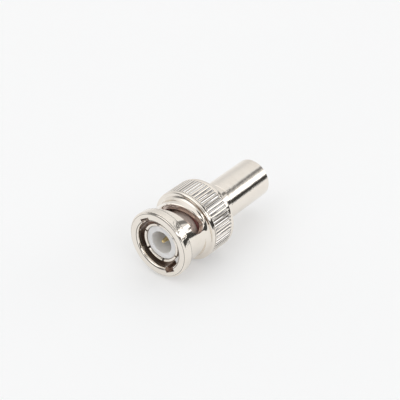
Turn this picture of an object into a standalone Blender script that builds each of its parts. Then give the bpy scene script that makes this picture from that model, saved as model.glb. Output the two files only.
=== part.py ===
# Fifty ohm bayonet terminator, standing on its closed cap with the mating face up.
# Depths are measured down from the mating face of the coupling nut, radii from the shared axis.
import math

import bmesh
import bpy
from mathutils import Matrix, Vector

overall_length = 0.0302
fit_gap = 0.00015
seat_gap = 0.0001

# Centre contact
pin_radius = 0.00066
pin_tip_radius = 0.00022
pin_taper = 0.0012
pin_depth = 0.0015
pin_shoulder_radius = 0.0011
pin_shoulder_length = 0.0010
pin_tail_length = 0.0024
lead_socket_depth = 0.0008

# White insulators
socket_radius = 0.00232
socket_depth = 0.0053
insulator_wall = 0.00106
insulator_depth = 0.0012
insulator_length = 0.0067
insulator_edge = 0.0001
insulator_neck_radius = 0.00185
insulator_neck_length = 0.0012
rear_insulator_length = 0.0020

# Contact body
finger_wall = 0.00045
finger_depth = 0.00095
finger_bead = 0.00006
finger_slot_width = 0.00042
finger_slot_length = 0.0056
finger_slot_pairs = 3
finger_slot_angle = 35
flange_width = 0.00158
flange_thickness = 0.0011
neck_radius = 0.0042
neck_edge = 0.00012
seam_depth = 0.0179
cavity_radius = 0.00275
spigot_length = 0.0040

# Gasket
gasket_wall = 0.00062
gasket_length = 0.0012

# Coupling nut
mouth_chamfer = 0.00024
keyway_width = 0.0022
keyway_height = 0.00077
sleeve_wall = 0.0011
band_height = 0.00083
band_length = 0.00185
face_bevel = 0.0003
shoulder_depth = 0.00825
flange_play = 0.0003
grip_wall = 0.00115
fillet_radius = 0.0009
bead_rounding = 0.00043
rear_rounding = 0.0004
shoulder_setback = 0.0004
rear_lip = 0.00215
flute_count = 60
flute_setback = 0.00055
flute_margin = 0.0011
flute_land = 0.00018
flute_slope = 0.00012
flute_height = 0.0002
flute_angle = 1.5
ring_groove_height = 0.0005

# Bayonet slots
slot_width = 0.0021
slot_depth = 0.00403
slot_turn = 87.5
entry_turn = 21.0
entry_relief = 0.00003
slot_front_rise = 0.00154
slot_back_rise = 0.00224
detent_radius = 0.00155
detent_depth = 0.00572
slot_bevel = 0.0002

# Washers and retaining ring
wave_thickness = 0.00025
wave_height = 0.0013
wave_count = 3
washer_thickness = 0.0006
ring_thickness = 0.0006
ring_width = 0.00105
ring_opening = 34

# End cap
cap_radius = 0.0041
cap_wall = 0.0005
cap_end_wall = 0.0006
cap_rounding = 0.00035
cap_edge = 0.00008

# Resistor
resistor_radius = 0.0012
resistor_length = 0.0062
resistor_lead_radius = 0.00028
front_lead_length = 0.0022
tube_wall = 0.00035
tube_overhang = 0.0007
solder_radius = 0.0013
solder_height = 0.0007

# Fitted sizes
insulator_radius = socket_radius + insulator_wall
finger_bore = insulator_radius + fit_gap
finger_radius = finger_bore + finger_wall
gasket_bore = finger_radius + fit_gap
gasket_radius = gasket_bore + gasket_wall
nut_bore = gasket_radius + fit_gap
sleeve_radius = nut_bore + sleeve_wall
band_radius = sleeve_radius + band_height
flange_radius = neck_radius + flange_width
nut_chamber_radius = flange_radius + flange_play
grip_radius = nut_chamber_radius + grip_wall
grip_depth = shoulder_depth - shoulder_setback
flute_start = grip_depth + flute_setback
flange_front = shoulder_depth + fit_gap
flange_back = flange_front + flange_thickness
wave_front = flange_back + seat_gap
wave_back = wave_front + wave_height
washer_front = wave_back + seat_gap
washer_back = washer_front + washer_thickness
ring_front = washer_back + seat_gap
ring_back = ring_front + ring_thickness
nut_length = ring_back + rear_lip
flute_end = nut_length - flute_margin
ring_groove_radius = nut_chamber_radius + ring_groove_height
ring_outer_radius = ring_groove_radius - seat_gap
insulator_back = insulator_depth + insulator_length
insulator_seat = insulator_back + seat_gap
neck_back = insulator_back + insulator_neck_length
web_radius = insulator_neck_radius + fit_gap
web_back = neck_back + seat_gap
shoulder_front = neck_back + seat_gap
shoulder_back = shoulder_front + pin_shoulder_length
rear_insulator_front = shoulder_back + seat_gap
rear_insulator_back = rear_insulator_front + rear_insulator_length
pin_hole_radius = pin_radius + seat_gap
pin_back = shoulder_back + pin_tail_length
lead_socket_radius = resistor_lead_radius + seat_gap
front_lead_front = pin_back - lead_socket_depth + seat_gap
front_lead_back = front_lead_front + front_lead_length
resistor_front = front_lead_back + seat_gap
resistor_back = resistor_front + resistor_length
spigot_back = seam_depth + spigot_length
cap_bore = cap_radius - cap_wall
spigot_radius = cap_bore - fit_gap
cap_front = seam_depth + seat_gap
cap_floor = overall_length - cap_end_wall
solder_back = cap_floor - seat_gap
solder_front = solder_back - solder_height
rear_lead_front = resistor_back + seat_gap
rear_lead_back = solder_front - seat_gap


def level(depth):
    return overall_length - depth


def material(name, colour, roughness, metallic):
    made = bpy.data.materials.new(name)
    made.use_nodes = True
    shader = made.node_tree.nodes["Principled BSDF"]
    shader.inputs["Base Color"].default_value = (*colour, 1.0)
    shader.inputs["Roughness"].default_value = roughness
    shader.inputs["Metallic"].default_value = metallic
    return made


def arc(centre_radius, centre_depth, radius, start, end, steps):
    # Angle 0 points outwards and 90 points down towards the cap
    points = []
    for step in range(steps + 1):
        angle = math.radians(start + (end - start) * step / steps)
        points.append((centre_radius + radius * math.cos(angle), centre_depth + radius * math.sin(angle)))
    return points


def place(name, mesh_data, front_depth, finish, parent=None):
    body = bpy.data.objects.new(name, mesh_data)
    body.location = (0.0, 0.0, level(front_depth))
    body.data.materials.append(finish)
    body.parent = parent
    bpy.context.scene.collection.objects.link(body)
    mesh_data.shade_smooth()
    mesh_data.set_sharp_from_angle(angle=math.radians(32))
    return body


def turn(profile, front_depth, steps, start_angle=0.0, sweep=360.0):
    # Profile points are radius and depth, and a solid profile starts and ends on the axis
    mesh = bmesh.new()
    closed = profile[0][0] > 0.0
    points = [mesh.verts.new((radius, 0.0, front_depth - depth)) for radius, depth in profile]
    edges = [mesh.edges.new(pair) for pair in zip(points, points[1:])]
    if closed:
        edges.append(mesh.edges.new((points[-1], points[0])))
    geometry = points + edges
    full = sweep >= 360.0
    if not full:
        geometry = points + edges + [mesh.faces.new(points)]
    start = Matrix.Rotation(math.radians(start_angle), 3, "Z")
    bmesh.ops.rotate(mesh, verts=points, cent=(0, 0, 0), matrix=start)
    bmesh.ops.spin(
        mesh,
        geom=geometry,
        cent=(0, 0, 0),
        axis=(0, 0, 1),
        angle=math.radians(sweep),
        steps=steps,
        use_merge=full,
    )
    bmesh.ops.remove_doubles(mesh, verts=mesh.verts, dist=1e-7)
    bmesh.ops.recalc_face_normals(mesh, faces=mesh.faces)
    return mesh


def finish_mesh(mesh, name):
    data = bpy.data.meshes.new(name)
    mesh.to_mesh(data)
    mesh.free()
    return data


def cutter_object(name, mesh, location, turned_by=(0.0, 0.0, 0.0)):
    tool = bpy.data.objects.new(name, finish_mesh(mesh, name))
    tool.location = location
    tool.rotation_euler = turned_by
    tool.hide_render = True
    tool.display_type = "WIRE"
    return tool


def cut_all(target, cutters):
    # One Boolean takes every cutter at once, so that they may run into each other
    group = bpy.data.collections.new(target.name + "_cutters")
    bpy.context.scene.collection.children.link(group)
    for tool in cutters:
        group.objects.link(tool)
    made = target.modifiers.new("cuts", "BOOLEAN")
    made.operation = "DIFFERENCE"
    made.solver = "EXACT"
    made.operand_type = "COLLECTION"
    made.collection = group


def flared_section(half_width):
    # Slot cross-section from inside the bore to beyond the sleeve, opening into the edge bevel
    inside = nut_bore - 0.5 * gasket_wall
    bevel_start = sleeve_radius - slot_bevel
    bevel_end = sleeve_radius + 0.5 * slot_bevel
    outside = grip_radius + slot_bevel
    flare = half_width + 1.5 * slot_bevel
    return [(inside, half_width), (bevel_start, half_width), (bevel_end, flare), (outside, flare)]


def helical_cutter(name, section, start_angle, first, last):
    # Runs clockwise seen from above and down, and its rear edge falls faster than its front edge
    mesh = bmesh.new()
    outline = [(radius, 0.0, height) for radius, height in section]
    outline += [(radius, 0.0, -height) for radius, height in reversed(section)]
    face = mesh.faces.new([mesh.verts.new(point) for point in outline])
    first_turn = Matrix.Rotation(-math.radians(first), 3, "Z")
    bmesh.ops.rotate(mesh, verts=face.verts, cent=(0, 0, 0), matrix=first_turn)
    bmesh.ops.spin(
        mesh,
        geom=[face, *face.edges, *face.verts],
        cent=(0, 0, 0),
        axis=(0, 0, 1),
        angle=-math.radians(last - first),
        steps=round((last - first) / 4),
    )
    for vertex in mesh.verts:
        part = -math.atan2(vertex.co.y, vertex.co.x) / math.radians(slot_turn)
        vertex.co.z -= part * (slot_front_rise if vertex.co.z > 0 else slot_back_rise)
    bmesh.ops.recalc_face_normals(mesh, faces=mesh.faces)
    return cutter_object(name, mesh, (0, 0, level(slot_depth)), (0, 0, math.radians(start_angle)))


def round_cutter(name, radius, depth, angle):
    section = flared_section(radius)
    profile = [(0.0, -section[0][0])]
    profile += [(width, -distance) for distance, width in section]
    profile += [(0.0, -section[-1][0])]
    mesh = turn(profile, 0.0, 24)
    return cutter_object(name, mesh, (0, 0, level(depth)), (0, math.radians(90), math.radians(angle)))


def keyway_cutter(name, angle):
    # Axial entry groove, broader at the mouth where the bore chamfer runs round it
    inside = nut_bore - gasket_wall
    outer = nut_bore + keyway_height
    half = 0.5 * keyway_width
    mesh = bmesh.new()
    length = slot_depth + 0.5 * slot_width + entry_relief
    corners = [(inside, -half), (outer, -half), (outer, half), (inside, half)]
    face = mesh.faces.new([mesh.verts.new((x, y, -length)) for x, y in corners])
    steps = [(length - mouth_chamfer, 0.0), (mouth_chamfer, mouth_chamfer), (mouth_chamfer, 0.0)]
    for index, (rise, spread) in enumerate(steps):
        grown = bmesh.ops.extrude_face_region(mesh, geom=[face])
        if index:
            bmesh.ops.delete(mesh, geom=[face], context="FACES_ONLY")
        face = [part for part in grown["geom"] if isinstance(part, bmesh.types.BMFace)][0]
        for vertex in face.verts:
            side = math.copysign(spread, vertex.co.y)
            out = spread if vertex.co.x > 0.5 * (inside + outer) else 0.0
            vertex.co += Vector((out, side, rise))
    bmesh.ops.recalc_face_normals(mesh, faces=mesh.faces)
    return cutter_object(name, mesh, (0, 0, level(0.0)), (0, 0, math.radians(angle)))


for old in list(bpy.data.objects):
    bpy.data.objects.remove(old, do_unlink=True)

nickel = material("bright_nickel", (0.74, 0.72, 0.69), 0.14, 1.0)
body_nickel = material("body_nickel", (0.70, 0.68, 0.65), 0.18, 1.0)
cap_nickel = material("cap_nickel", (0.74, 0.72, 0.69), 0.12, 1.0)
gold = material("pin_gold", (0.83, 0.62, 0.22), 0.22, 1.0)
white_plastic = material("white_insulator", (0.86, 0.86, 0.87), 0.45, 0.0)
rear_plastic = material("rear_insulator_white", (0.86, 0.86, 0.87), 0.45, 0.0)
red_rubber = material("red_gasket", (0.23, 0.03, 0.025), 0.4, 0.0)
spring_steel = material("spring_steel", (0.55, 0.55, 0.56), 0.28, 1.0)
washer_steel = material("washer_steel", (0.60, 0.60, 0.61), 0.25, 1.0)
ring_steel = material("ring_steel", (0.42, 0.42, 0.43), 0.32, 1.0)
ceramic = material("resistor_coating", (0.16, 0.28, 0.40), 0.5, 0.0)
front_tin = material("front_lead_tin", (0.72, 0.72, 0.73), 0.3, 1.0)
rear_tin = material("rear_lead_tin", (0.72, 0.72, 0.73), 0.3, 1.0)
tube_plastic = material("insulating_tube", (0.80, 0.80, 0.76), 0.5, 0.0)
solder = material("solder", (0.62, 0.63, 0.65), 0.35, 1.0)

# Coupling nut: face, band, slotted sleeve, fluted grip ring and stepped bore in one turned piece
nut_axis = bpy.data.objects.new("nut_axis", None)
bpy.context.scene.collection.objects.link(nut_axis)
bead_radius = grip_radius - bead_rounding
fillet_rise = min(bead_radius - sleeve_radius, fillet_radius)
fillet_end = 180 + math.degrees(math.acos(1 - fillet_rise / fillet_radius))
fillet_start_depth = grip_depth - fillet_radius * math.sin(math.radians(fillet_end - 180))
fillet_arc = arc(sleeve_radius + fillet_radius, fillet_start_depth, fillet_radius, 180, fillet_end, 6)
fillet = [(radius, 2 * fillet_start_depth - depth) for radius, depth in fillet_arc]
nut_profile = [
    (nut_bore + mouth_chamfer, 0.0),
    (band_radius - face_bevel, 0.0),
    (band_radius, face_bevel),
    (band_radius, band_length),
    (sleeve_radius, band_length),
    *fillet,
    *arc(bead_radius, grip_depth + bead_rounding, bead_rounding, -90, 0, 4),
    (grip_radius, flute_start),
    (grip_radius, flute_end),
    *arc(grip_radius - rear_rounding, nut_length - rear_rounding, rear_rounding, 0, 90, 5),
    (nut_chamber_radius + fit_gap, nut_length),
    (nut_chamber_radius, nut_length - fit_gap),
    (nut_chamber_radius, ring_back + 0.5 * seat_gap),
    (ring_groove_radius, ring_back + 0.5 * seat_gap),
    (ring_groove_radius, ring_front - 0.5 * seat_gap),
    (nut_chamber_radius, ring_front - 0.5 * seat_gap),
    (nut_chamber_radius, shoulder_depth),
    (nut_bore, shoulder_depth),
    (nut_bore, mouth_chamfer),
]
nut_mesh = turn(nut_profile, 0.0, flute_count, flute_angle)
flute_faces = [
    face
    for face in nut_mesh.faces
    if abs(face.calc_center_median().z + 0.5 * (flute_start + flute_end)) < 1e-5
    and face.calc_center_median().xy.length > nut_chamber_radius + 0.5 * grip_wall
]
bmesh.ops.inset_individual(nut_mesh, faces=flute_faces, thickness=flute_land, depth=0.0)
bmesh.ops.inset_individual(nut_mesh, faces=flute_faces, thickness=flute_slope, depth=-flute_height)
coupling_nut = place("coupling_nut", finish_mesh(nut_mesh, "coupling_nut"), 0.0, nickel, nut_axis)
# The slot is blind beside its keyway, then opens through the wall and ends in the detent
slot_opening = flared_section(0.5 * slot_width)
keyway_outer = nut_bore + keyway_height - entry_relief
blind_opening = [(slot_opening[0][0], 0.5 * slot_width), (keyway_outer, 0.5 * slot_width)]
opening_fall = 0.5 * (slot_front_rise + slot_back_rise) * entry_turn / slot_turn
nut_cutters = []
for side, angle in (("right", 0), ("left", 180)):
    opening_angle = angle - entry_turn
    nut_cutters.append(keyway_cutter("keyway_cutter_" + side, angle))
    nut_cutters.append(helical_cutter("entry_cutter_" + side, blind_opening, angle, 0.0, entry_turn))
    nut_cutters.append(helical_cutter("slot_cutter_" + side, slot_opening, angle, entry_turn, slot_turn))
    opening_depth = slot_depth + opening_fall
    nut_cutters.append(round_cutter("opening_cutter_" + side, 0.5 * slot_width, opening_depth, opening_angle))
    detent_angle = angle - slot_turn
    nut_cutters.append(round_cutter("detent_cutter_" + side, detent_radius, detent_depth, detent_angle))
cut_all(coupling_nut, nut_cutters)

# Contact body: spring fingers, flange, neck and cap spigot in one turned piece
body_profile = [
    (finger_bore + finger_bead, finger_depth),
    (finger_radius - finger_bead, finger_depth),
    (finger_radius + finger_bead, finger_depth + 2 * finger_bead),
    (finger_radius + finger_bead, finger_depth + finger_wall),
    (finger_radius, finger_depth + 2 * finger_wall),
    (finger_radius, flange_front),
    (flange_radius - neck_edge, flange_front),
    (flange_radius, flange_front + neck_edge),
    (flange_radius, flange_back - neck_edge),
    (flange_radius - neck_edge, flange_back),
    (neck_radius, flange_back),
    (neck_radius, seam_depth - neck_edge),
    (neck_radius - neck_edge, seam_depth),
    (spigot_radius, seam_depth),
    (spigot_radius, spigot_back - neck_edge),
    (spigot_radius - neck_edge, spigot_back),
    (cavity_radius, spigot_back),
    (cavity_radius, web_back),
    (web_radius, web_back),
    (web_radius, insulator_seat),
    (finger_bore, insulator_seat),
    (finger_bore, finger_depth + finger_bead),
]
body_mesh = turn(body_profile, finger_depth, 48)
contact_body = place("contact_body", finish_mesh(body_mesh, "contact_body"), finger_depth, body_nickel)
finger_cutters = []
blade_span = 2 * (finger_radius + gasket_wall)
blade_height = finger_slot_length + finger_depth
blade_middle = (0, 0, level(0.5 * blade_height))
for index in range(finger_slot_pairs):
    blade = bmesh.new()
    bmesh.ops.create_cube(blade, size=1.0)
    bmesh.ops.scale(blade, vec=(blade_span, finger_slot_width, blade_height), verts=blade.verts)
    blade_angle = math.radians(finger_slot_angle + 180 * index / finger_slot_pairs)
    name = "finger_cutter_%d" % index
    finger_cutters.append(cutter_object(name, blade, blade_middle, (0, 0, blade_angle)))
cut_all(contact_body, finger_cutters)

# Red gasket round the fingers, against the flange
gasket_back = flange_front - seat_gap
gasket_front = gasket_back - gasket_length
gasket_edge = 0.2 * gasket_wall
gasket_profile = [
    (gasket_bore, gasket_front),
    (gasket_radius - gasket_edge, gasket_front),
    (gasket_radius, gasket_front + gasket_edge),
    (gasket_radius, gasket_back),
    (gasket_bore, gasket_back),
]
place("gasket", finish_mesh(turn(gasket_profile, gasket_front, 48), "gasket"), gasket_front, red_rubber)

# Front insulator: open socket for the mating contact, with the pin through its floor
insulator_profile = [
    (socket_radius, insulator_depth),
    (insulator_radius - insulator_edge, insulator_depth),
    (insulator_radius, insulator_depth + insulator_edge),
    (insulator_radius, insulator_back),
    (insulator_neck_radius, insulator_back),
    (insulator_neck_radius, neck_back),
    (pin_hole_radius, neck_back),
    (pin_hole_radius, insulator_depth + socket_depth),
    (socket_radius, insulator_depth + socket_depth),
]
insulator_mesh = turn(insulator_profile, insulator_depth, 40)
place("front_insulator", finish_mesh(insulator_mesh, "front_insulator"), insulator_depth, white_plastic)

rear_insulator_profile = [
    (pin_hole_radius, rear_insulator_front),
    (cavity_radius - fit_gap, rear_insulator_front),
    (cavity_radius - fit_gap, rear_insulator_back),
    (pin_hole_radius, rear_insulator_back),
]
rear_insulator_mesh = turn(rear_insulator_profile, rear_insulator_front, 32)
rear_insulator_mesh = finish_mesh(rear_insulator_mesh, "rear_insulator")
place("rear_insulator", rear_insulator_mesh, rear_insulator_front, rear_plastic)

# Centre pin: tapered tip, shoulder between the insulators and a socket for the resistor lead
pin_profile = [
    (0.0, pin_depth),
    *arc(0.0, pin_depth + pin_tip_radius, pin_tip_radius, -60, 0, 3),
    (pin_radius, pin_depth + pin_taper),
    (pin_radius, shoulder_front),
    (pin_shoulder_radius, shoulder_front),
    (pin_shoulder_radius, shoulder_back),
    (pin_radius, shoulder_back),
    (pin_radius, pin_back),
    (lead_socket_radius, pin_back),
    (lead_socket_radius, pin_back - lead_socket_depth),
    (0.0, pin_back - lead_socket_depth),
]
place("center_pin", finish_mesh(turn(pin_profile, pin_depth, 24), "center_pin"), pin_depth, gold)

# Wave washer between the flange and the flat washer
wave_middle = 0.5 * (wave_front + wave_back)
wave_profile = [
    (neck_radius + fit_gap, wave_middle - 0.5 * wave_thickness),
    (flange_radius, wave_middle - 0.5 * wave_thickness),
    (flange_radius, wave_middle + 0.5 * wave_thickness),
    (neck_radius + fit_gap, wave_middle + 0.5 * wave_thickness),
]
wave_mesh = turn(wave_profile, wave_middle, 16 * wave_count)
for vertex in wave_mesh.verts:
    around = math.atan2(vertex.co.y, vertex.co.x)
    vertex.co.z += 0.5 * (wave_height - wave_thickness) * math.cos(wave_count * around)
place("wave_washer", finish_mesh(wave_mesh, "wave_washer"), wave_middle, spring_steel)

washer_profile = [
    (neck_radius + fit_gap, washer_front),
    (nut_chamber_radius - fit_gap, washer_front),
    (nut_chamber_radius - fit_gap, washer_back),
    (neck_radius + fit_gap, washer_back),
]
washer_mesh = turn(washer_profile, washer_front, 48)
place("thrust_washer", finish_mesh(washer_mesh, "thrust_washer"), washer_front, washer_steel)

# Open retaining ring, sprung into the groove of the nut
ring_profile = [
    (ring_outer_radius - ring_width, ring_front),
    (ring_outer_radius, ring_front),
    (ring_outer_radius, ring_back),
    (ring_outer_radius - ring_width, ring_back),
]
ring_mesh = turn(ring_profile, ring_front, 44, 0.5 * ring_opening, 360.0 - ring_opening)
place("retaining_ring", finish_mesh(ring_mesh, "retaining_ring"), ring_front, ring_steel, nut_axis)

# Drawn end cap over the spigot
cap_profile = [
    (0.0, overall_length),
    *reversed(arc(cap_radius - cap_rounding, overall_length - cap_rounding, cap_rounding, 0, 90, 5)),
    (cap_radius, cap_front + cap_edge),
    (cap_radius - cap_edge, cap_front),
    (cap_bore, cap_front),
    (cap_bore, cap_floor - cap_rounding),
    (cap_bore - cap_rounding, cap_floor),
    (0.0, cap_floor),
]
place("end_cap", finish_mesh(turn(cap_profile, cap_front, 56), "end_cap"), cap_front, cap_nickel)

# Resistor between the pin and the cap
resistor_waist = 0.1 * resistor_radius
resistor_cap = 0.16 * resistor_length
resistor_profile = [
    (0.0, resistor_front),
    (resistor_radius - resistor_waist, resistor_front),
    (resistor_radius, resistor_front + resistor_waist),
    (resistor_radius, resistor_front + resistor_cap),
    (resistor_radius - resistor_waist, resistor_front + resistor_cap + resistor_waist),
    (resistor_radius - resistor_waist, resistor_back - resistor_cap - resistor_waist),
    (resistor_radius, resistor_back - resistor_cap),
    (resistor_radius, resistor_back - resistor_waist),
    (resistor_radius - resistor_waist, resistor_back),
    (0.0, resistor_back),
]
resistor_mesh = turn(resistor_profile, resistor_front, 24)
place("resistor_body", finish_mesh(resistor_mesh, "resistor_body"), resistor_front, ceramic)
for name, front, back, finish in (
    ("resistor_front_lead", front_lead_front, front_lead_back, front_tin),
    ("resistor_rear_lead", rear_lead_front, rear_lead_back, rear_tin),
):
    lead_profile = [(0.0, front), (resistor_lead_radius, front), (resistor_lead_radius, back), (0.0, back)]
    place(name, finish_mesh(turn(lead_profile, front, 12), name), front, finish)

tube_front = resistor_front - tube_overhang
tube_back = resistor_back + tube_overhang
tube_bore = resistor_radius + fit_gap
tube_profile = [
    (tube_bore, tube_front),
    (tube_bore + tube_wall, tube_front),
    (tube_bore + tube_wall, tube_back),
    (tube_bore, tube_back),
]
tube_mesh = turn(tube_profile, tube_front, 24)
place("resistor_sleeve", finish_mesh(tube_mesh, "resistor_sleeve"), tube_front, tube_plastic)

solder_profile = [
    (0.0, solder_front),
    (0.45 * solder_radius, solder_front),
    (0.75 * solder_radius, solder_front + 0.35 * solder_height),
    (solder_radius, solder_back),
    (0.0, solder_back),
]
solder_mesh = turn(solder_profile, solder_front, 20)
place("ground_solder", finish_mesh(solder_mesh, "ground_solder"), solder_front, solder)
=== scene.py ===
import math

import bpy
from mathutils import Matrix, Vector


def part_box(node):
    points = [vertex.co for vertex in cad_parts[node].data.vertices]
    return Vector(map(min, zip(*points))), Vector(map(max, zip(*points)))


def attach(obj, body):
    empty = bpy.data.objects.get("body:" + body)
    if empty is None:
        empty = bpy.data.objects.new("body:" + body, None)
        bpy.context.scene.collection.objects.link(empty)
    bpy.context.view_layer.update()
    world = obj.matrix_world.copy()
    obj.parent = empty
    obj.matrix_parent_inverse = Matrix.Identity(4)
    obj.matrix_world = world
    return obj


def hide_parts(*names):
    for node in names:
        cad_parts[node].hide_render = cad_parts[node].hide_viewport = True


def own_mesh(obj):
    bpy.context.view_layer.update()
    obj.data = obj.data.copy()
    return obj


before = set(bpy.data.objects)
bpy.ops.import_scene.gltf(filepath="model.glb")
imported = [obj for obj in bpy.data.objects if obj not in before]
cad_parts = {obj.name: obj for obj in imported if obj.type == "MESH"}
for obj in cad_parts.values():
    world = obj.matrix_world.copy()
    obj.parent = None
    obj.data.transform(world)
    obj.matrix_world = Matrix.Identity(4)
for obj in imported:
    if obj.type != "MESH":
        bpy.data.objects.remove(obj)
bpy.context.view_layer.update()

mm = 0.001
totalLength = 30.2


def heightOf(depth):
    return (totalLength - depth) * mm  # depth is counted down from the mating face


# the camera of the photograph: 22 cm away, 41 degrees above the plane of the mating face
view = {
    "place": (41.982, -156.654, 155.502),
    "right": (-0.423727, -0.660236, -0.620110),
    "up": (0.886700, -0.162533, -0.432840),
    "lens": 99.0,
    "sensor": 36.0,
    "nearest": 10.0,
}

cameraData = bpy.data.cameras.new("productCamera")
cameraData.lens = view["lens"]
cameraData.sensor_width = view["sensor"]
cameraData.clip_start = view["nearest"] * mm
camera = bpy.data.objects.new("productCamera", cameraData)
bpy.context.scene.collection.objects.link(camera)
rightAxis = Vector(view["right"]).normalized()
backAxis = rightAxis.cross(Vector(view["up"])).normalized()
upAxis = backAxis.cross(rightAxis)
aim = Matrix((rightAxis, upAxis, backAxis)).transposed().to_4x4()
camera.matrix_world = Matrix.Translation(Vector(view["place"]) * mm) @ aim
bpy.context.scene.camera = camera
bpy.context.scene.view_settings.view_transform = "Standard"
print("camera placed")


# modelling helpers
def startClean():
    if bpy.context.mode != "OBJECT":
        bpy.ops.object.mode_set(mode="OBJECT")
    bpy.ops.object.select_all(action="DESELECT")


def applyPlace(thing):
    startClean()
    thing.select_set(True)
    bpy.context.view_layer.objects.active = thing
    bpy.ops.object.transform_apply(location=True, rotation=True, scale=True)


def finishEdit(thing, smoothAngle):
    # merges the seams, turns every face outwards and, with an angle, shades it smooth
    bpy.ops.object.mode_set(mode="EDIT")
    bpy.ops.mesh.select_all(action="SELECT")
    bpy.ops.mesh.remove_doubles(threshold=0.0005 * mm)
    bpy.ops.mesh.normals_make_consistent(inside=False)
    bpy.ops.object.mode_set(mode="OBJECT")
    if smoothAngle:
        bpy.ops.object.shade_smooth_by_angle(angle=math.radians(smoothAngle))


def arcRings(radius, depth, size, start, end, steps, sizeDown=None):
    # 0 degrees points outwards, 90 degrees down towards the cap
    sizeDown = sizeDown or size
    rings = []
    for step in range(steps + 1):
        angle = math.radians(start + (end - start) * step / steps)
        rings.append((radius + size * math.cos(angle), depth + sizeDown * math.sin(angle)))
    return rings


def turnedPiece(name, rings, segments, capped=False, smoothAngle=28):
    # a circle extruded ring by ring, as on a lathe; a capped piece starts and ends in a flat face
    startClean()
    radius, depth = rings[0]
    bpy.ops.mesh.primitive_circle_add(vertices=segments, radius=radius * mm, location=(0, 0, heightOf(depth)))
    piece = bpy.context.object
    piece.name = name
    piece.data.name = name
    applyPlace(piece)
    bpy.ops.object.mode_set(mode="EDIT")
    bpy.ops.mesh.select_all(action="SELECT")
    extrude = bpy.ops.mesh.extrude_edges_move
    if capped:
        bpy.ops.mesh.edge_face_add()
        bpy.ops.mesh.select_all(action="SELECT")
        extrude = bpy.ops.mesh.extrude_region_move
    for nextRadius, nextDepth in rings[1:]:
        extrude(TRANSFORM_OT_translate={"value": (0, 0, (depth - nextDepth) * mm)})
        ratio = nextRadius / radius
        bpy.ops.transform.resize(value=(ratio, ratio, 1), center_override=(0, 0, 0))
        radius, depth = nextRadius, nextDepth
    finishEdit(piece, smoothAngle)
    return piece


def selectWhere(piece, chosen):
    # leaves the piece in edit mode with only the chosen vertices selected
    bpy.ops.object.mode_set(mode="EDIT")
    bpy.ops.mesh.select_all(action="DESELECT")
    bpy.ops.object.mode_set(mode="OBJECT")
    for vertex in piece.data.vertices:
        vertex.select = chosen(vertex.co)
    bpy.ops.object.mode_set(mode="EDIT")


def cutWith(piece, cutters):
    # one exact Boolean takes all the cutters, then they go
    group = bpy.data.collections.new(piece.name + "Cutters")
    bpy.context.scene.collection.children.link(group)
    for cutter in cutters:
        for holder in list(cutter.users_collection):
            holder.objects.unlink(cutter)
        group.objects.link(cutter)
    startClean()
    piece.select_set(True)
    bpy.context.view_layer.objects.active = piece
    cut = piece.modifiers.new("cuts", "BOOLEAN")
    cut.operation = "DIFFERENCE"
    cut.solver = "EXACT"
    cut.operand_type = "COLLECTION"
    cut.collection = group
    bpy.ops.object.modifier_apply(modifier=cut.name)
    for cutter in cutters:
        bpy.data.objects.remove(cutter)
    bpy.data.collections.remove(group)


# finishes
def fromHex(code):
    channels = [int(code[i:i + 2], 16) / 255 for i in (0, 2, 4)]
    return [c / 12.92 if c <= 0.04045 else ((c + 0.055) / 1.055) ** 2.4 for c in channels] + [1.0]


def addNode(tree, kind, settings=None, links=None, sockets=None):
    node = tree.nodes.new(kind)
    for key, value in (settings or {}).items():
        setattr(node, key, value)
    for key, value in (sockets or {}).items():
        node.inputs[key].default_value = value
    for key, source in (links or {}).items():
        tree.links.new(source, node.inputs[key])
    return node


def newMaterial(name):
    material = bpy.data.materials.new(name)
    material.use_nodes = True
    tree = material.node_tree
    shader = tree.nodes["Principled BSDF"]
    return material, tree, shader


# where the plating changes: ramps from none to full by radius and by depth, and areas made from two others
plateAreas = {
    "radius": {"rim": (6.72, 6.8), "wall": (5.92, 5.82), "keyway": (5.36, 5.42)},
    "depth": {"band": (2.1, 1.9), "behindFace": (0.1, 0.25), "beforeFlange": (8.5, 8.3), "deeper": (2.9, 3.5)},
    "joined": [
        ("outerBand", "MULTIPLY", "band", "rim"),
        ("knockedBand", "MULTIPLY", "knocks", "outerBand"),
        ("keywayWall", "MULTIPLY", "keyway", "behindFace"),
        ("pastMouth", "MAXIMUM", "bore", "keywayWall"),
        ("deepWall", "MULTIPLY", "wall", "pastMouth"),
        ("inside", "MULTIPLY", "deepWall", "beforeFlange"),
        ("lighter", "MAXIMUM", "deeper", "keyway"),
    ],
}
fluteAreas = {
    "radius": {"gutter": (7.17, 7.08), "underRib": (7.2, 7.17), "overGutter": (7.08, 7.12)},
    "depth": {"pastGroove": (8.5, 8.6), "beforeRear": (13.5, 13.3)},
    "joined": [
        ("grip", "MULTIPLY", "beforeRear", "pastGroove"),
        ("fluteFloor", "MULTIPLY", "gutter", "grip"),
        ("fluteStep", "MULTIPLY", "underRib", "overGutter"),
        ("fluteEdge", "MULTIPLY", "fluteStep", "grip"),
    ],
}

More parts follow.
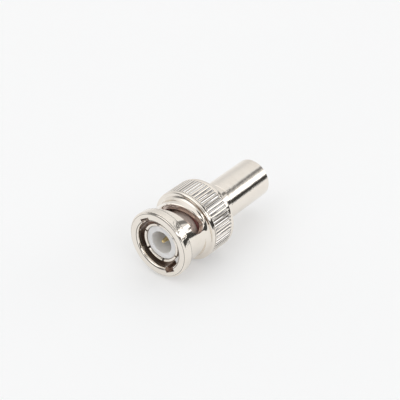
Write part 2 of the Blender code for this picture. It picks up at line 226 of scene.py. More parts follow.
# Bright nickel plate on turned brass: a warm grey mirror with faint tool rings and a soft tumbled waviness
nickel = {
    # the third colour is painted shade for thin lines in the sharp turned corners
    "colour": "f3ede5", "stain": "e9e1d6", "cornerPaintedShade": "5c554f",
    "roughness": 0.05, "roughMore": 0.05, "patchRange": (0.35, 0.75),
    "ringStretch": (260.0, 260.0, 3200.0),  # per metre: long round the axis, 0.3 mm apart along it
    "grains": {  # scales per metre
        "rings": {"Scale": 1.0, "Detail": 3.0, "Roughness": 0.6},  # tool marks, scaled by the stretch
        "dents": {"Scale": 700.0, "Detail": 1.0},  # from tumbling, 1.4 mm across and shallow
        "knocks": {"Scale": 2300.0, "Detail": 2.0},  # finer ones, 0.4 mm across, on the front band alone
        "patches": {"Scale": 420.0, "Detail": 4.0},  # stains, 2.4 mm across
    },
    "bumps": {"rings": (0.09, 0.1), "dents": (0.045, 0.2), "knockedBand": (0.55, 0.1)},  # strength and distance
    # inside the bore and slots: a rougher, less metallic plate, coloured brown as painted shade and reflection, darker
    # towards the front
    "insideFrom": 0.6, "insideFade": 0.5, "insideRough": 0.2, "insideMetal": 0.88,
    "insideFront": "8c7d73", "insideColour": "d2c1b7",
    "areas": [plateAreas],
    "tints": {},  # area and colour
    # painted shade lines in the sharp turned corners
    "corners": [],  # radius, depth and half width of the line
}
nutPlate = {
    "areas": [plateAreas, fluteAreas],
    "tints": {"fluteFloor": "e8e6e4", "fluteEdge": "a09c99"},  # pale floors, a dark outline where they meet the ribs
    # painted shade lines at the mouth, the fine step on the face, the band's rear edge and the groove behind the bead
    "corners": [(5.22, 0.02, 0.05), (6.45, 0.03, 0.03), (6.81, 1.82, 0.055), (7.17, 8.46, 0.055)],
}
bodyPlate = {
    "roughness": 0.07,
    # the fingers and sleeve inside the nut: paler and far less metallic, painted light where they show through the
    # slots
    "insideFrom": 1.1, "insideRough": 0.15, "insideMetal": 0.42, "insideFront": "d9cdc4", "insideColour": "f2e4da",
}
capPlate = {
    "bumps": {"rings": (0.38, 0.1), "dents": (0.081, 0.2), "knockedBand": (0.55, 0.1)},
}


def nickelPlate(name, changes):
    look = {**nickel, **changes}
    material, tree, shader = newMaterial(name)
    place = addNode(tree, "ShaderNodeTexCoord").outputs["Object"]
    flat = addNode(tree, "ShaderNodeVectorMath", {"operation": "MULTIPLY"}, {0: place}, {1: (1, 1, 0)})
    length = addNode(tree, "ShaderNodeVectorMath", {"operation": "LENGTH"}, {0: flat.outputs["Vector"]})
    radius = length.outputs["Value"]
    height = addNode(tree, "ShaderNodeSeparateXYZ", None, {0: place}).outputs["Z"]
    stretch = addNode(tree, "ShaderNodeMapping", None, {"Vector": place}, {"Scale": look["ringStretch"]})

    # grains and areas by name, each from 0 to 1
    level = {}
    for key, sockets in look["grains"].items():
        source = stretch.outputs["Vector"] if key == "rings" else place
        level[key] = addNode(tree, "ShaderNodeTexNoise", None, {"Vector": source}, sockets).outputs["Fac"]
    boreStart = look["insideFrom"]
    ramps = [("bore", height, heightOf(boreStart), heightOf(boreStart + look["insideFade"]))]
    joined = []
    for areas in look["areas"]:
        ramps += [(key, radius, none * mm, full * mm) for key, (none, full) in areas["radius"].items()]
        ramps += [(key, height, heightOf(none), heightOf(full)) for key, (none, full) in areas["depth"].items()]
        joined += areas["joined"]
    for key, source, none, full in ramps:
        ramp = addNode(tree, "ShaderNodeMapRange", None, {"Value": source}, {"From Min": none, "From Max": full})
        level[key] = ramp.outputs["Result"]
    for key, operation, first, second in joined:
        pair = addNode(tree, "ShaderNodeMath", {"operation": operation}, {0: level[first], 1: level[second]})
        level[key] = pair.outputs[0]

    # tool rings under dents, and knocks on the front band
    under = {}
    for key, (strength, distance) in look["bumps"].items():
        bump = addNode(tree, "ShaderNodeBump", None, {"Height": level[key], **under},
                       {"Strength": strength, "Distance": distance * mm})
        under = {"Normal": bump.outputs["Normal"]}

    # in the bore and the slots the plate is rougher and less metallic, as plating throws poorly there; its brown tone
    # there is painted shade and reflection, darkest at the bore's front, and the paler tone deeper in and on the keyway
    # walls is painted light
    lowest, highest = look["patchRange"]
    rough = addNode(tree, "ShaderNodeMapRange", None, {"Value": level["patches"]},
                    {"From Min": lowest, "From Max": highest,
                     "To Min": look["roughness"], "To Max": look["roughness"] + look["roughMore"]})
    dull = addNode(tree, "ShaderNodeMix", {"data_type": "FLOAT"},
                   {"Factor": level["inside"], 2: rough.outputs["Result"]}, {3: look["insideRough"]})
    metal = addNode(tree, "ShaderNodeMapRange", None, {"Value": level["inside"]},
                    {"To Min": 1.0, "To Max": look["insideMetal"]})
    outer = addNode(tree, "ShaderNodeMix", {"data_type": "RGBA"}, {"Factor": level["patches"]},
                    {6: fromHex(look["colour"]), 7: fromHex(look["stain"])})
    inner = addNode(tree, "ShaderNodeMix", {"data_type": "RGBA"}, {"Factor": level["lighter"]},
                    {6: fromHex(look["insideFront"]), 7: fromHex(look["insideColour"])})
    both = addNode(tree, "ShaderNodeMix", {"data_type": "RGBA"},
                   {"Factor": level["inside"], 6: outer.outputs[2], 7: inner.outputs[2]})

    # the flute floors take a greyer tint with a dark line where they meet the ribs, and thin painted shade lines darken
    # the sharp turned corners
    layers = [(level[key], code) for key, code in look["tints"].items()]
    section = addNode(tree, "ShaderNodeCombineXYZ", None, {"X": radius, "Z": height})
    for cornerRadius, cornerDepth, size in look["corners"]:
        away = addNode(tree, "ShaderNodeVectorMath", {"operation": "DISTANCE"}, {0: section.outputs["Vector"]},
                       {1: (cornerRadius * mm, 0, heightOf(cornerDepth))})
        line = addNode(tree, "ShaderNodeMapRange", {"interpolation_type": "SMOOTHSTEP"},
                       {"Value": away.outputs["Value"]},
                       {"From Min": size * mm, "From Max": size * 1.6 * mm, "To Min": 1.0, "To Max": 0.0})
        layers.append((line.outputs["Result"], look["cornerPaintedShade"]))
    finish = both.outputs[2]
    for mask, code in layers:
        layer = addNode(tree, "ShaderNodeMix", {"data_type": "RGBA"}, {"Factor": mask, 6: finish}, {7: fromHex(code)})
        finish = layer.outputs[2]

    tree.links.new(finish, shader.inputs["Base Color"])
    tree.links.new(dull.outputs[0], shader.inputs["Roughness"])
    tree.links.new(bump.outputs["Normal"], shader.inputs["Normal"])
    tree.links.new(metal.outputs["Result"], shader.inputs["Metallic"])
    return material


def plainMetal(name, colour, roughness, grain):
    # rolled or drawn metal: a fine directionless grain in the roughness; grain is counted per metre
    material, tree, shader = newMaterial(name)
    place = addNode(tree, "ShaderNodeTexCoord").outputs["Object"]
    noise = addNode(tree, "ShaderNodeTexNoise", None, {"Vector": place}, {"Scale": grain, "Detail": 3.0}).outputs["Fac"]
    rough = addNode(tree, "ShaderNodeMapRange", None, {"Value": noise},
                    {"To Min": roughness * 0.7, "To Max": roughness * 1.3})
    bump = addNode(tree, "ShaderNodeBump", None, {"Height": noise}, {"Strength": 0.08, "Distance": 0.05 * mm})
    tree.links.new(rough.outputs["Result"], shader.inputs["Roughness"])
    tree.links.new(bump.outputs["Normal"], shader.inputs["Normal"])
    shader.inputs["Base Color"].default_value = fromHex(colour)
    shader.inputs["Metallic"].default_value = 1.0
    return material


def softPart(name, colour, dark, roughness, grain, subsurface):
    # moulded or turned plastic and rubber: a faint mottling and a fine grain, counted per metre
    material, tree, shader = newMaterial(name)
    place = addNode(tree, "ShaderNodeTexCoord").outputs["Object"]
    noise = addNode(tree, "ShaderNodeTexNoise", None, {"Vector": place}, {"Scale": grain, "Detail": 4.0}).outputs["Fac"]
    tint = addNode(tree, "ShaderNodeMix", {"data_type": "RGBA"}, {"Factor": noise},
                   {6: fromHex(colour), 7: fromHex(dark)})
    bump = addNode(tree, "ShaderNodeBump", None, {"Height": noise}, {"Strength": 0.12, "Distance": 0.03 * mm})
    tree.links.new(tint.outputs[2], shader.inputs["Base Color"])
    tree.links.new(bump.outputs["Normal"], shader.inputs["Normal"])
    shader.inputs["Roughness"].default_value = roughness
    if subsurface:
        shader.inputs["Subsurface Weight"].default_value = subsurface
        shader.inputs["Subsurface Radius"].default_value = (1.2 * mm, 1.1 * mm, 1.0 * mm)
        shader.inputs["Subsurface Scale"].default_value = 1.0
    return material


nutNickel = nickelPlate("brightNickelPlate", nutPlate)
bodyNickel = nickelPlate("nickelPlateBody", bodyPlate)
capNickel = nickelPlate("nickelPlateCap", capPlate)
pinGold = plainMetal("goldPlateOnPin", "e6cf9a", 0.22, 3000.0)  # thin gold over nickel, paler than solid gold
springSteel = plainMetal("rolledSpringSteel", "b4b2ae", 0.25, 2500.0)  # grey, with the soft shine of rolled strip
washerSteel = plainMetal("stampedWasherSteel", "bab8b4", 0.28, 2500.0)  # a little paler and duller than the spring
ringSteel = plainMetal("blackenedRingSteel", "7d7a76", 0.32, 2500.0)  # dark oxide finish
tinnedWire = plainMetal("tinnedCopperWire", "cfcdc8", 0.3, 3000.0)  # tin hides the copper's colour
tinSolder = plainMetal("tinSolder", "bfc0c1", 0.35, 1500.0)  # cool grey and satin
whitePtfe = softPart("turnedWhitePtfe", "f1f0ef", "eae9e8", 0.42, 1500.0, 0.35)  # waxy white, lets a little light in
redSilicone = softPart("mouldedRedSilicone", "78433e", "683834", 0.32, 2500.0, 0.0)  # dark red, slightly glossy
resistorLacquer = softPart("resistorLacquer", "5f7f9c", "547190", 0.35, 2500.0, 0.0)  # dipped blue coat
clearTube = softPart("insulatingTubePlastic", "e6e3d8", "dcd9ce", 0.4, 2000.0, 0.1)  # milky
print("materials made")


# coupling nut
nut = {
    "segments": 480,
    "boreRadius": 4.9, "mouth": 0.42, "faceRadius": 6.52, "bandRadius": 6.83, "bandBevel": 0.31, "bandEnd": 1.85,
    "sleeveRadius": 6.0, "filletStart": 6.95, "filletEnd": 7.85, "gripRadius": 7.23, "bead": 0.43,
    "grooveDepth": 8.46, "grooveCut": 0.056, "fluteStart": 8.62, "fluteEnd": 13.4, "fluteRun": 0.36, "fluteCut": 0.24,
    "flutes": 60, "flutePhase": 4.5, "rearRadius": 6.95, "rearDepth": 14.45, "rearRound": (0.2, 0.75),
    "chamberRadius": 6.08, "shoulder": 8.25, "ringRadius": 6.58, "ringFront": 11.65, "ringBack": 12.35,
}
fluteSection = {0.0: 1.0, 0.75: 0.84, 1.5: 0.24}  # degrees off the middle and share of the cut: a shallow gutter
fluteRunOut = [(0.45, 0.35), (0.85, 0.7), (1.0, 1.0)]  # share of the cut and of the run, at either end of a flute


def nutRings():
    bore, face, band = nut["boreRadius"], nut["faceRadius"], nut["bandRadius"]
    sleeve, grip, bandEnd = nut["sleeveRadius"], nut["gripRadius"], nut["bandEnd"]
    rings = [(bore + nut["mouth"], 0.0), (face - 0.09, 0.0)]
    rings += [(face - 0.07, 0.01), (face - 0.045, 0.04), (face - 0.02, 0.042), (face + 0.03, 0.06)]  # fine turned step
    rings += arcRings(band - 0.12, nut["bandBevel"] + 0.05, 0.12, -60, 0, 5)
    rings += arcRings(band - 0.05, bandEnd - 0.05, 0.05, 0, 90, 3)
    rings += [(sleeve + 0.08, bandEnd), (sleeve + 0.02, bandEnd + 0.02), (sleeve, bandEnd + 0.08)]
    # the fillet up to the grip, then its front bead and the groove behind it
    beadStart = grip - nut["bead"]
    rise = beadStart - sleeve
    filletSize = nut["filletEnd"] - nut["filletStart"]
    for step in range(9):
        angle = math.radians(90 * step / 8)
        rings.append((sleeve + rise * (1 - math.cos(angle)), nut["filletStart"] + filletSize * math.sin(angle)))
    rings += arcRings(beadStart, nut["filletEnd"] + nut["bead"], nut["bead"], -82, 0, 7)
    grooveFloor = grip - nut["grooveCut"]
    rings += [(grip, nut["grooveDepth"] - 0.09), (grooveFloor, nut["grooveDepth"] - 0.03)]
    rings += [(grooveFloor, nut["grooveDepth"] + 0.03), (grip, nut["grooveDepth"] + 0.09)]
    shares = [0.0] + [along for part, along in fluteRunOut]
    rings += [(grip, nut["fluteStart"] + nut["fluteRun"] * share) for share in shares]
    rings += [(grip, nut["fluteEnd"] - nut["fluteRun"] * share) for share in reversed(shares)]
    # the rounded rear, then back through the chamber with its ring groove to the mouth
    flatPart, roundDepth = nut["rearRound"]
    rearCentre = nut["rearRadius"] - flatPart
    rings += arcRings(rearCentre, nut["rearDepth"] - roundDepth, grip - rearCentre, 0, 90, 8, roundDepth)
    chamber, ringRadius = nut["chamberRadius"], nut["ringRadius"]
    rings += [(chamber + 0.15, nut["rearDepth"]), (chamber, nut["rearDepth"] - 0.15)]
    rings += [(chamber, nut["ringBack"]), (ringRadius, nut["ringBack"])]
    rings += [(ringRadius, nut["ringFront"]), (chamber, nut["ringFront"])]
    rings += [(chamber, nut["shoulder"]), (bore, nut["shoulder"])]
    rings += arcRings(bore + nut["mouth"], nut["mouth"], nut["mouth"], -180, -90, 6)
    return rings


nutShell = turnedPiece("nutShell", nutRings(), nut["segments"], smoothAngle=0)


def fluteOffset(point):
    # degrees from the middle of the nearest flute
    pitch = 360 / nut["flutes"]
    angle = math.degrees(math.atan2(point.y, point.x)) - nut["flutePhase"]
    return abs((angle + pitch / 2) % pitch - pitch / 2)


def cutFlutes():
    # draws the vertices of each flute inwards and leaves flat-topped ribs between them
    run, grip = nut["fluteRun"], nut["gripRadius"]
    near = 0.02 * mm
    for offset, share in fluteSection.items():
        for part, along in fluteRunOut:
            heights = [heightOf(nut["fluteStart"] + run * along), heightOf(nut["fluteEnd"] - run * along)]
            ratio = 1 - nut["fluteCut"] * share * part / grip

            def inColumn(point):
                if abs(point.xy.length - grip * mm) > near:
                    return False
                if min(abs(point.z - height) for height in heights) > near:
                    return False
                return abs(fluteOffset(point) - offset) < 0.2

            selectWhere(nutShell, inColumn)
            bpy.ops.transform.resize(value=(ratio, ratio, 1), center_override=(0, 0, 0))
            bpy.ops.object.mode_set(mode="OBJECT")


cutFlutes()
print("flutes cut")

slot = {
    "width": 2.1, "depth": 4.03, "turn": 87.5, "frontRise": 1.54, "backRise": 2.24, "stepDegrees": 2,
    "entryTurn": 21.0, "detentRadius": 1.55, "detentDepth": 5.72, "bevel": 0.22, "roundSegments": 64,
    "keywayWidth": 2.2, "keywayRadius": 5.67, "keywayEdge": 0.07, "keywayOverlap": 0.03,
    "reachIn": 0.35, "reachOut": 1.4, "keywayReachIn": 0.6, "keywayReachUp": 0.5,  # how far the cutters stand clear
}


def flare():
    # radius and extra half width of the cutters: straight wall, then a rounded edge that opens outwards
    sleeve, bevel = nut["sleeveRadius"], slot["bevel"]
    stations = [(nut["boreRadius"] - slot["reachIn"], 0.0), (sleeve - bevel, 0.0)]
    for angle in (30, 60, 80):
        turn = math.radians(angle)
        stations.append((sleeve - bevel * (1 - math.sin(turn)), bevel * (1 - math.cos(turn))))
    stations.append((sleeve + 0.05, bevel * 1.05))
    stations.append((sleeve + slot["reachOut"], bevel * 1.3))
    return stations


def helixCutter(name, stations, startAngle, first, last):
    # an upright strip in a radial plane, widened outwards, then swept round clockwise and down
    startClean()
    (inner, noExtra), (radius, extra) = stations[:2]
    middle = (inner + radius) / 2 * mm
    bpy.ops.mesh.primitive_plane_add(size=1, location=(middle, 0, 0), rotation=(math.radians(90), 0, 0))
    cutter = bpy.context.object
    cutter.name = name
    cutter.scale = ((radius - inner) * mm, slot["width"] * mm, 1)
    applyPlace(cutter)
    selectWhere(cutter, lambda point: point.x > middle)
    halfWidth = slot["width"] / 2
    for nextRadius, nextExtra in stations[2:]:
        bpy.ops.mesh.extrude_region_move(TRANSFORM_OT_translate={"value": ((nextRadius - radius) * mm, 0, 0)})
        ratio = (halfWidth + nextExtra) / (halfWidth + extra)
        bpy.ops.transform.resize(value=(1, 1, ratio), center_override=(0, 0, 0))
        radius, extra = nextRadius, nextExtra
    bpy.ops.mesh.select_all(action="SELECT")
    bpy.ops.mesh.spin(steps=round((last - first) / slot["stepDegrees"]), angle=math.radians(last - first),
                      center=(0, 0, 0), axis=(0, 0, 1))
    bpy.ops.object.mode_set(mode="OBJECT")
    if sum(vertex.co.y for vertex in cutter.data.vertices) > 0:  # it must run clockwise seen from the front
        bpy.ops.object.mode_set(mode="EDIT")
        bpy.ops.mesh.select_all(action="SELECT")
        bpy.ops.transform.resize(value=(1, -1, 1), center_override=(0, 0, 0))
        bpy.ops.object.mode_set(mode="OBJECT")
    for vertex in cutter.data.vertices:
        part = (first - math.degrees(math.atan2(vertex.co.y, vertex.co.x))) / slot["turn"]
        fall = slot["frontRise"] if vertex.co.z > 0 else slot["backRise"]
        vertex.co.z += heightOf(slot["depth"]) - part * fall * mm
    cutter.rotation_euler = (0, 0, math.radians(startAngle - first))
    applyPlace(cutter)
    finishEdit(cutter, 0)
    return cutter


def roundCutter(name, radius, depth, angle):
    # a round plug across the wall with the same opening edge
    stations = flare()
    reach, extra = stations[0]
    startClean()
    bpy.ops.mesh.primitive_circle_add(vertices=slot["roundSegments"], radius=radius * mm, fill_type="NGON",
                                      location=(0, 0, reach * mm))
    cutter = bpy.context.object
    cutter.name = name
    applyPlace(cutter)
    bpy.ops.object.mode_set(mode="EDIT")
    bpy.ops.mesh.select_all(action="SELECT")
    for nextReach, nextExtra in stations[1:]:
        bpy.ops.mesh.extrude_region_move(TRANSFORM_OT_translate={"value": (0, 0, (nextReach - reach) * mm)})
        ratio = (radius + nextExtra) / (radius + extra)
        bpy.ops.transform.resize(value=(ratio, ratio, 1), center_override=(0, 0, 0))
        reach, extra = nextReach, nextExtra
    bpy.ops.object.mode_set(mode="OBJECT")
    cutter.rotation_euler = (0, math.radians(90), math.radians(angle))
    cutter.location = (0, 0, heightOf(depth))
    applyPlace(cutter)
    finishEdit(cutter, 0)
    return cutter


def keywayCutter(name, angle):
    # a block from the mouth down into the slot, a little wider where it leaves the mating face
    startClean()
    inner, outer = nut["boreRadius"] - slot["keywayReachIn"], slot["keywayRadius"]
    middle = (inner + outer) / 2 * mm
    length = slot["depth"] + slot["width"] / 2 + slot["keywayOverlap"]
    height = length + slot["keywayReachUp"]
    bpy.ops.mesh.primitive_cube_add(size=1, location=(middle, 0, heightOf(length - height / 2)))
    cutter = bpy.context.object
    cutter.name = name
    cutter.scale = ((outer - inner) * mm, slot["keywayWidth"] * mm, height * mm)
    applyPlace(cutter)
    bpy.ops.object.mode_set(mode="EDIT")
    edge = slot["keywayEdge"]
    for level in (heightOf(edge), heightOf(0)):
        bpy.ops.mesh.select_all(action="SELECT")
        bpy.ops.mesh.bisect(plane_co=(0, 0, level), plane_no=(0, 0, 1))
    bpy.ops.object.mode_set(mode="OBJECT")
    for vertex in cutter.data.vertices:
        if vertex.co.z > heightOf(0.01):
            vertex.co.y += math.copysign(edge * mm, vertex.co.y)
            if vertex.co.x > middle:
                vertex.co.x += edge * mm
    cutter.rotation_euler = (0, 0, math.radians(angle))
    applyPlace(cutter)
    finishEdit(cutter, 0)
    return cutter


# beside its keyway the slot is blind, then it opens through the wall and ends in the detent
nutCutters = []
opening = slot["entryTurn"]
openingDepth = slot["depth"] + (slot["frontRise"] + slot["backRise"]) / 2 * opening / slot["turn"]
blind = [(nut["boreRadius"] - slot["reachIn"], 0.0), (slot["keywayRadius"] - 0.03, 0.0)]
for side, angle in (("Right", 0), ("Left", 180)):
    nutCutters.append(keywayCutter("keyway" + side, angle))
    nutCutters.append(helixCutter("entry" + side, blind, angle, 0, opening))
    nutCutters.append(helixCutter("helix" + side, flare(), angle, opening, slot["turn"]))
    nutCutters.append(roundCutter("opening" + side, slot["width"] / 2, openingDepth, angle - opening))
    nutCutters.append(roundCutter("detent" + side, slot["detentRadius"], slot["detentDepth"], angle - slot["turn"]))
cutWith(nutShell, nutCutters)
finishEdit(nutShell, 30)
nutShell.data.materials.append(nutNickel)
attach(nutShell, "coupling")
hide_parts("coupling_nut")
print("coupling nut:", len(nutShell.data.polygons), "faces")


# contact body
body = {
    "segments": 192,
    "fingerInner": 3.53, "fingerOuter": 3.98, "bead": 0.06, "lip": 0.16, "fingerDepth": 0.95, "flangeRadius": 5.78,
    "flangeFront": 8.4, "flangeBack": 9.5, "neckRadius": 4.2, "seam": 17.9, "seamEdge": 0.1, "spigotRadius": 3.45,
    "spigotBack": 21.9, "cavityRadius": 2.75, "webRadius": 2.0, "webBack": 9.2, "seat": 8.0,
    "slots": 3, "slotWidth": 0.42, "slotEnd": 6.55, "slotAngle": 35, "bladeReach": 4.7,  # each slot runs right across
}


def bodyRings():
    inner, outer, front = body["fingerInner"], body["fingerOuter"], body["fingerDepth"]
    bead, lip, neck, seamEdge = body["bead"], body["lip"], body["neckRadius"], body["seamEdge"]
    flange, flangeFront, flangeBack = body["flangeRadius"], body["flangeFront"], body["flangeBack"]
    spigot, spigotBack = body["spigotRadius"], body["spigotBack"]
    # outside, from the rolled tips of the fingers back to the spigot
    rings = [(inner + 0.08, front + 0.02), (inner + 0.12, front)]
    rings += arcRings(outer + bead - lip, front + lip, lip, -90, 0, 6)
    rings += [(outer + bead, front + 0.4), (outer + bead * 0.5, front + 0.65), (outer, front + 0.9)]
    rings += [(outer, flangeFront - 0.05), (outer + 0.05, flangeFront)]
    rings += [(flange - 0.1, flangeFront), (flange, flangeFront + 0.1)]
    rings += [(flange, flangeBack - 0.1), (flange - 0.1, flangeBack)]
    rings += [(neck + 0.05, flangeBack), (neck, flangeBack + 0.05)]
    rings += arcRings(neck - seamEdge, body["seam"] - seamEdge, seamEdge, 0, 90, 4)
    rings += [(spigot, body["seam"]), (spigot, spigotBack - 0.1), (spigot - 0.1, spigotBack)]
    # inside, from the cavity forward past the web to the tips
    rings += [(body["cavityRadius"], spigotBack), (body["cavityRadius"], body["webBack"])]
    rings += [(body["webRadius"], body["webBack"]), (body["webRadius"], body["seat"])]
    rings += [(inner, body["seat"]), (inner, front + 0.08), (inner + 0.08, front + 0.02)]
    return rings


bodyShell = turnedPiece("bodyShell", bodyRings(), body["segments"], smoothAngle=0)
fingerCutters = []
for index in range(body["slots"]):
    startClean()
    bpy.ops.mesh.primitive_cube_add(size=1, location=(0, 0, heightOf(body["slotEnd"] / 2)))
    blade = bpy.context.object
    blade.name = "fingerBlade%d" % index
    blade.scale = (2 * body["bladeReach"] * mm, body["slotWidth"] * mm, body["slotEnd"] * mm)
    blade.rotation_euler = (0, 0, math.radians(body["slotAngle"] + 180 / body["slots"] * index))
    applyPlace(blade)
    fingerCutters.append(blade)
cutWith(bodyShell, fingerCutters)
finishEdit(bodyShell, 30)
bodyShell.data.materials.append(bodyNickel)
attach(bodyShell, "connector_body")
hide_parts("contact_body")

# end cap
cap = {
    "segments": 256, "radius": 4.1, "front": 18.0, "edge": 0.07, "round": 0.32,
    "bore": 3.6, "floor": 29.6, "floorEdge": 0.3, "startRadius": 3.25,
}


def capRings():
    radius, front, edge, bore = cap["radius"], cap["front"], cap["edge"], cap["bore"]
    corner, floorEdge = cap["round"], cap["floorEdge"]
    rings = [(cap["startRadius"], totalLength), (radius - corner - 0.02, totalLength)]
    rings += reversed(arcRings(radius - corner, totalLength - corner, corner, 0, 90, 8))
    rings += [(radius, front + edge), (radius - edge * 0.4, front + edge * 0.4), (radius - edge, front)]
    rings += [(bore, front), (bore, cap["floor"] - floorEdge), (bore - floorEdge, cap["floor"])]
    return rings


capShell = turnedPiece("capShell", capRings(), cap["segments"], capped=True, smoothAngle=30)
capShell.data.materials.append(capNickel)
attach(capShell, "connector_body")
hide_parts("end_cap")

# white socket
socket = {
    "segments": 128, "bore": 2.32, "outer": 3.46, "front": 1.2, "edge": 0.12, "boreEdge": 0.06, "back": 7.9,
    "floor": 6.5, "floorEdge": 0.1, "tail": 1.85, "tailBack": 9.1, "pinHole": 0.76,
}


def socketRings():
    outer, bore, tail, pinHole = socket["outer"], socket["bore"], socket["tail"], socket["pinHole"]
    front, edge, boreEdge = socket["front"], socket["edge"], socket["boreEdge"]
    back, tailBack, floor, floorEdge = socket["back"], socket["tailBack"], socket["floor"], socket["floorEdge"]
    rings = arcRings(outer - edge, front + edge, edge, -90, 0, 4)
    rings += [(outer, back), (tail, back), (tail, tailBack), (pinHole, tailBack), (pinHole, floor)]
    rings += [(bore - floorEdge, floor), (bore, floor - floorEdge)]
    rings += [(bore, front + boreEdge), (bore + boreEdge, front), (outer - edge, front)]
    return rings


socketShell = turnedPiece("socketShell", socketRings(), socket["segments"])
socketShell.data.materials.append(whitePtfe)
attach(socketShell, "connector_body")
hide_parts("front_insulator")

# gasket round the root of the fingers
gasket = {"segments": 128, "inner": 4.13, "outer": 4.75, "front": 7.1, "back": 8.3, "round": 0.13, "edge": 0.04}


def gasketRings():
    inner, outer, front, back = gasket["inner"], gasket["outer"], gasket["front"], gasket["back"]
    corner, edge = gasket["round"], gasket["edge"]
    rings = arcRings(outer - corner, front + corner, corner, -90, 0, 4)
    rings += [(outer, back), (inner, back), (inner, front + edge), (inner + edge, front), (outer - corner, front)]
    return rings


gasketShell = turnedPiece("gasketShell", gasketRings(), gasket["segments"])
gasketShell.data.materials.append(redSilicone)
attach(gasketShell, "connector_body")
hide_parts("gasket")

# centre pin: a long slim point, a plain shank and the collar that its bead holds
pin = {
    "segments": 64, "point": [(0.12, 1.5), (0.22, 1.53), (0.29, 1.6), (0.33, 1.75), (0.42, 2.6)], "pointEnd": 3.6,
    "radius": 0.66, "collar": 1.1, "collarFront": 9.2, "collarBack": 10.2, "back": 12.6,
}
shank, collar = pin["radius"], pin["collar"]
pinRings = pin["point"] + [(shank, pin["pointEnd"]), (shank, pin["collarFront"]), (collar, pin["collarFront"])]
pinRings += [(collar, pin["collarBack"]), (shank, pin["collarBack"]), (shank, pin["back"])]
pinShell = turnedPiece("pinShell", pinRings, pin["segments"], capped=True)
pinShell.data.materials.append(pinGold)
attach(pinShell, "connector_body")
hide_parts("center_pin")
print("body, cap, socket, gasket and pin made")

# wave spring behind the flange, which flattens as the nut is drawn against it; here its waves are fixed to fill the
# height of the wave washer part
spring = {"segments": 144, "inner": 4.35, "outer": 5.78, "thickness": 0.25, "waves": 3, "travel": 0.6}
low, high = (corner.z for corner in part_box("wave_washer"))
middle = totalLength - (low + high) / 2 / mm
front, back = middle - spring["thickness"] / 2, middle + spring["thickness"] / 2
inner, outer = spring["inner"], spring["outer"]
springRings = [(inner, front), (outer, front), (outer, back), (inner, back), (inner, front)]
springShell = turnedPiece("springShell", springRings, spring["segments"])
swing = (high - low) / 2 - spring["thickness"] / 2 * mm
for vertex in springShell.data.vertices:
    vertex.co.z += swing * math.cos(spring["waves"] * math.atan2(vertex.co.y, vertex.co.x))
springShell.data.materials.append(springSteel)
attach(springShell, "connector_body")
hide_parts("wave_washer")
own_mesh(springShell)

# the pieces hidden inside keep their own shapes
nodeFinish = {
    "thrust_washer": washerSteel,
    "retaining_ring": ringSteel,
    "rear_insulator": whitePtfe,
    "resistor_body": resistorLacquer,
    "resistor_front_lead": tinnedWire,
    "resistor_rear_lead": tinnedWire,
    "resistor_sleeve": clearTube,
    "ground_solder": tinSolder,
}
for nodeName, finish in nodeFinish.items():
    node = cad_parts[nodeName]
    for place in node.material_slots:
        place.material = finish
print("spring made, hidden pieces finished")

# table: a pale sheet that the grip lies on, seen through from behind
table = {
    "touch": 147.3, "radius": 7.25, "clearance": 0.03, "colour": "d2d3d4", "roughness": 0.6, "glow": 0.3,
    "left": -130.0, "right": 80.0, "low": -250.0, "high": 160.0,
}

material, tree, shader = newMaterial("whiteTable")
shader.inputs["Base Color"].default_value = fromHex(table["colour"])
shader.inputs["Roughness"].default_value = table["roughness"]
shader.inputs["Emission Color"].default_value = (1, 1, 1, 1)
shader.inputs["Emission Strength"].default_value = table["glow"]  # a light table, so shadows stay pale
geometry = addNode(tree, "ShaderNodeNewGeometry")
clear = addNode(tree, "ShaderNodeBsdfTransparent")
mixer = addNode(tree, "ShaderNodeMixShader", None,
                {0: geometry.outputs["Backfacing"], 1: shader.outputs[0], 2: clear.outputs[0]})
tree.links.new(mixer.outputs[0], tree.nodes["Material Output"].inputs["Surface"])
startClean()
bpy.ops.mesh.primitive_plane_add(size=1)
floor = bpy.context.object
floor.name = "table"
touch = math.radians(table["touch"])
away = Vector((math.cos(touch), math.sin(touch), 0))
across = Vector((0, 0, 1)).cross(away)
reach = (table["radius"] + table["clearance"]) * mm
for vertex in floor.data.vertices:
    sideways = table["right"] if vertex.co.x > 0 else table["left"]
    upwards = table["high"] if vertex.co.y > 0 else table["low"]
    vertex.co = away * reach + across * sideways * mm + Vector((0, 0, upwards * mm))
floor.data.update()
if floor.data.polygons[0].normal.dot(away) > 0:  # its front faces the part
    bpy.ops.object.mode_set(mode="EDIT")
    bpy.ops.mesh.select_all(action="SELECT")
    bpy.ops.mesh.flip_normals()
    bpy.ops.object.mode_set(mode="OBJECT")
floor.data.materials.append(material)

# light
# A white tent, brightest overhead. Round the axis stand a wide dimmer panel, a bright one and two dark slits. Past
# the mating end there are a bright panel and three dark gaps, one of them the camera: the turned edges catch those
tent = {
    "low": 0.6, "high": 1.0, "full": 0.8, "overhead": (0.8415, -0.5402, 0.0),
    "wallDip": 0.654,
    "bands": [  # azimuth, half width, brightness, soft edge and lean
        (60.0, 24.0, 0.84, 14.0, 0.0),
        (-90.0, 13.0, 1.9, 3.0, 0.0),
        (-64.0, 9.0, 0.23, 3.0, 80.0),
        (-117.0, 12.0, 0.06, 3.0, 0.0),
    ],
    "fronts": [  # direction, where it fades out, where it is full, and brightness
        ((0.76, -0.12, 0.64), 32.0, 20.0, 1.4),
        ((0.22, 0.34, 0.914), 25.0, 16.0, 0.04),
        ((0.70, 0.40, 0.59), 19.0, 9.0, 0.28),
        ((0.185, -0.7333, 0.6543), 21.0, 11.0, 0.05),
    ],
    "colour": (1.0, 0.995, 0.988, 1.0), "backdrop": (0.93, 0.93, 0.93, 1.0),
}
world = bpy.data.worlds.new("studioTent")
bpy.context.scene.world = world
world.use_nodes = True
tree = world.node_tree
for node in list(tree.nodes):
    tree.nodes.remove(node)
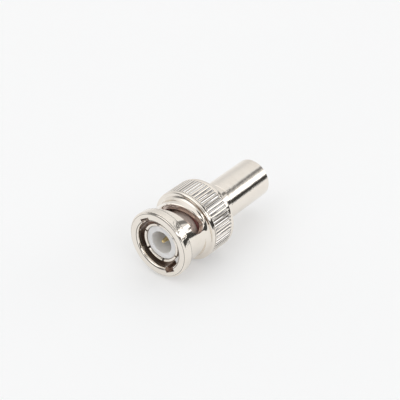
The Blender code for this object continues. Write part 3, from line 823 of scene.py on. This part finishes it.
direction = addNode(tree, "ShaderNodeTexCoord").outputs["Generated"]
axes = addNode(tree, "ShaderNodeSeparateXYZ", None, {0: direction})
azimuth = addNode(tree, "ShaderNodeMath", {"operation": "ARCTAN2"}, {0: axes.outputs["Y"], 1: axes.outputs["X"]})
degrees = addNode(tree, "ShaderNodeMath", {"operation": "DEGREES"}, {0: azimuth.outputs[0]})
upness = addNode(tree, "ShaderNodeVectorMath", {"operation": "DOT_PRODUCT"}, {0: direction}, {1: tent["overhead"]})
gradient = addNode(tree, "ShaderNodeMapRange", None, {"Value": upness.outputs["Value"]},
                   {"From Min": 0.0, "From Max": tent["full"], "To Min": tent["low"], "To Max": tent["high"]})
panels = []
for centre, half, brightness, soft, lean in tent["bands"]:
    # from this camera all walls along the axis mirror the tent at one dip, so a band that leans about that
    # dip stays in its place, and shows the tool rings as small teeth on its edge
    leaning = addNode(tree, "ShaderNodeMath", {"operation": "MULTIPLY_ADD"},
                      {0: axes.outputs["Z"], 2: degrees.outputs[0]}, {1: lean})
    offset = addNode(tree, "ShaderNodeMath", {"operation": "ADD"},
                     {0: leaning.outputs[0]}, {1: tent["wallDip"] * lean - centre})
    distance = addNode(tree, "ShaderNodeMath", {"operation": "ABSOLUTE"}, {0: offset.outputs[0]})
    mask = addNode(tree, "ShaderNodeMapRange", {"interpolation_type": "SMOOTHSTEP"}, {"Value": distance.outputs[0]},
                   {"From Min": half - soft / 2, "From Max": half + soft / 2, "To Min": 1.0, "To Max": 0.0})
    panels.append((mask, brightness))
for middle, fading, full, brightness in tent["fronts"]:
    facing = addNode(tree, "ShaderNodeVectorMath", {"operation": "DOT_PRODUCT"}, {0: direction}, {1: middle})
    mask = addNode(tree, "ShaderNodeMapRange", {"interpolation_type": "SMOOTHSTEP"}, {"Value": facing.outputs["Value"]},
                   {"From Min": math.cos(math.radians(fading)), "From Max": math.cos(math.radians(full))})
    panels.append((mask, brightness))
current = gradient.outputs["Result"]
for mask, brightness in panels:
    blend = addNode(tree, "ShaderNodeMix", {"data_type": "FLOAT"},
                    {"Factor": mask.outputs["Result"], 2: current}, {3: brightness})
    current = blend.outputs[0]
light = addNode(tree, "ShaderNodeBackground", None, {"Strength": current}, {"Color": tent["colour"]})
plain = addNode(tree, "ShaderNodeBackground", None, None, {"Color": tent["backdrop"], "Strength": 1.0})
rays = addNode(tree, "ShaderNodeLightPath")
pick = addNode(tree, "ShaderNodeMixShader", None,
               {0: rays.outputs["Is Camera Ray"], 1: light.outputs[0], 2: plain.outputs[0]})
addNode(tree, "ShaderNodeOutputWorld", None, {"Surface": pick.outputs[0]})
print("tent and table ready")

startClean()
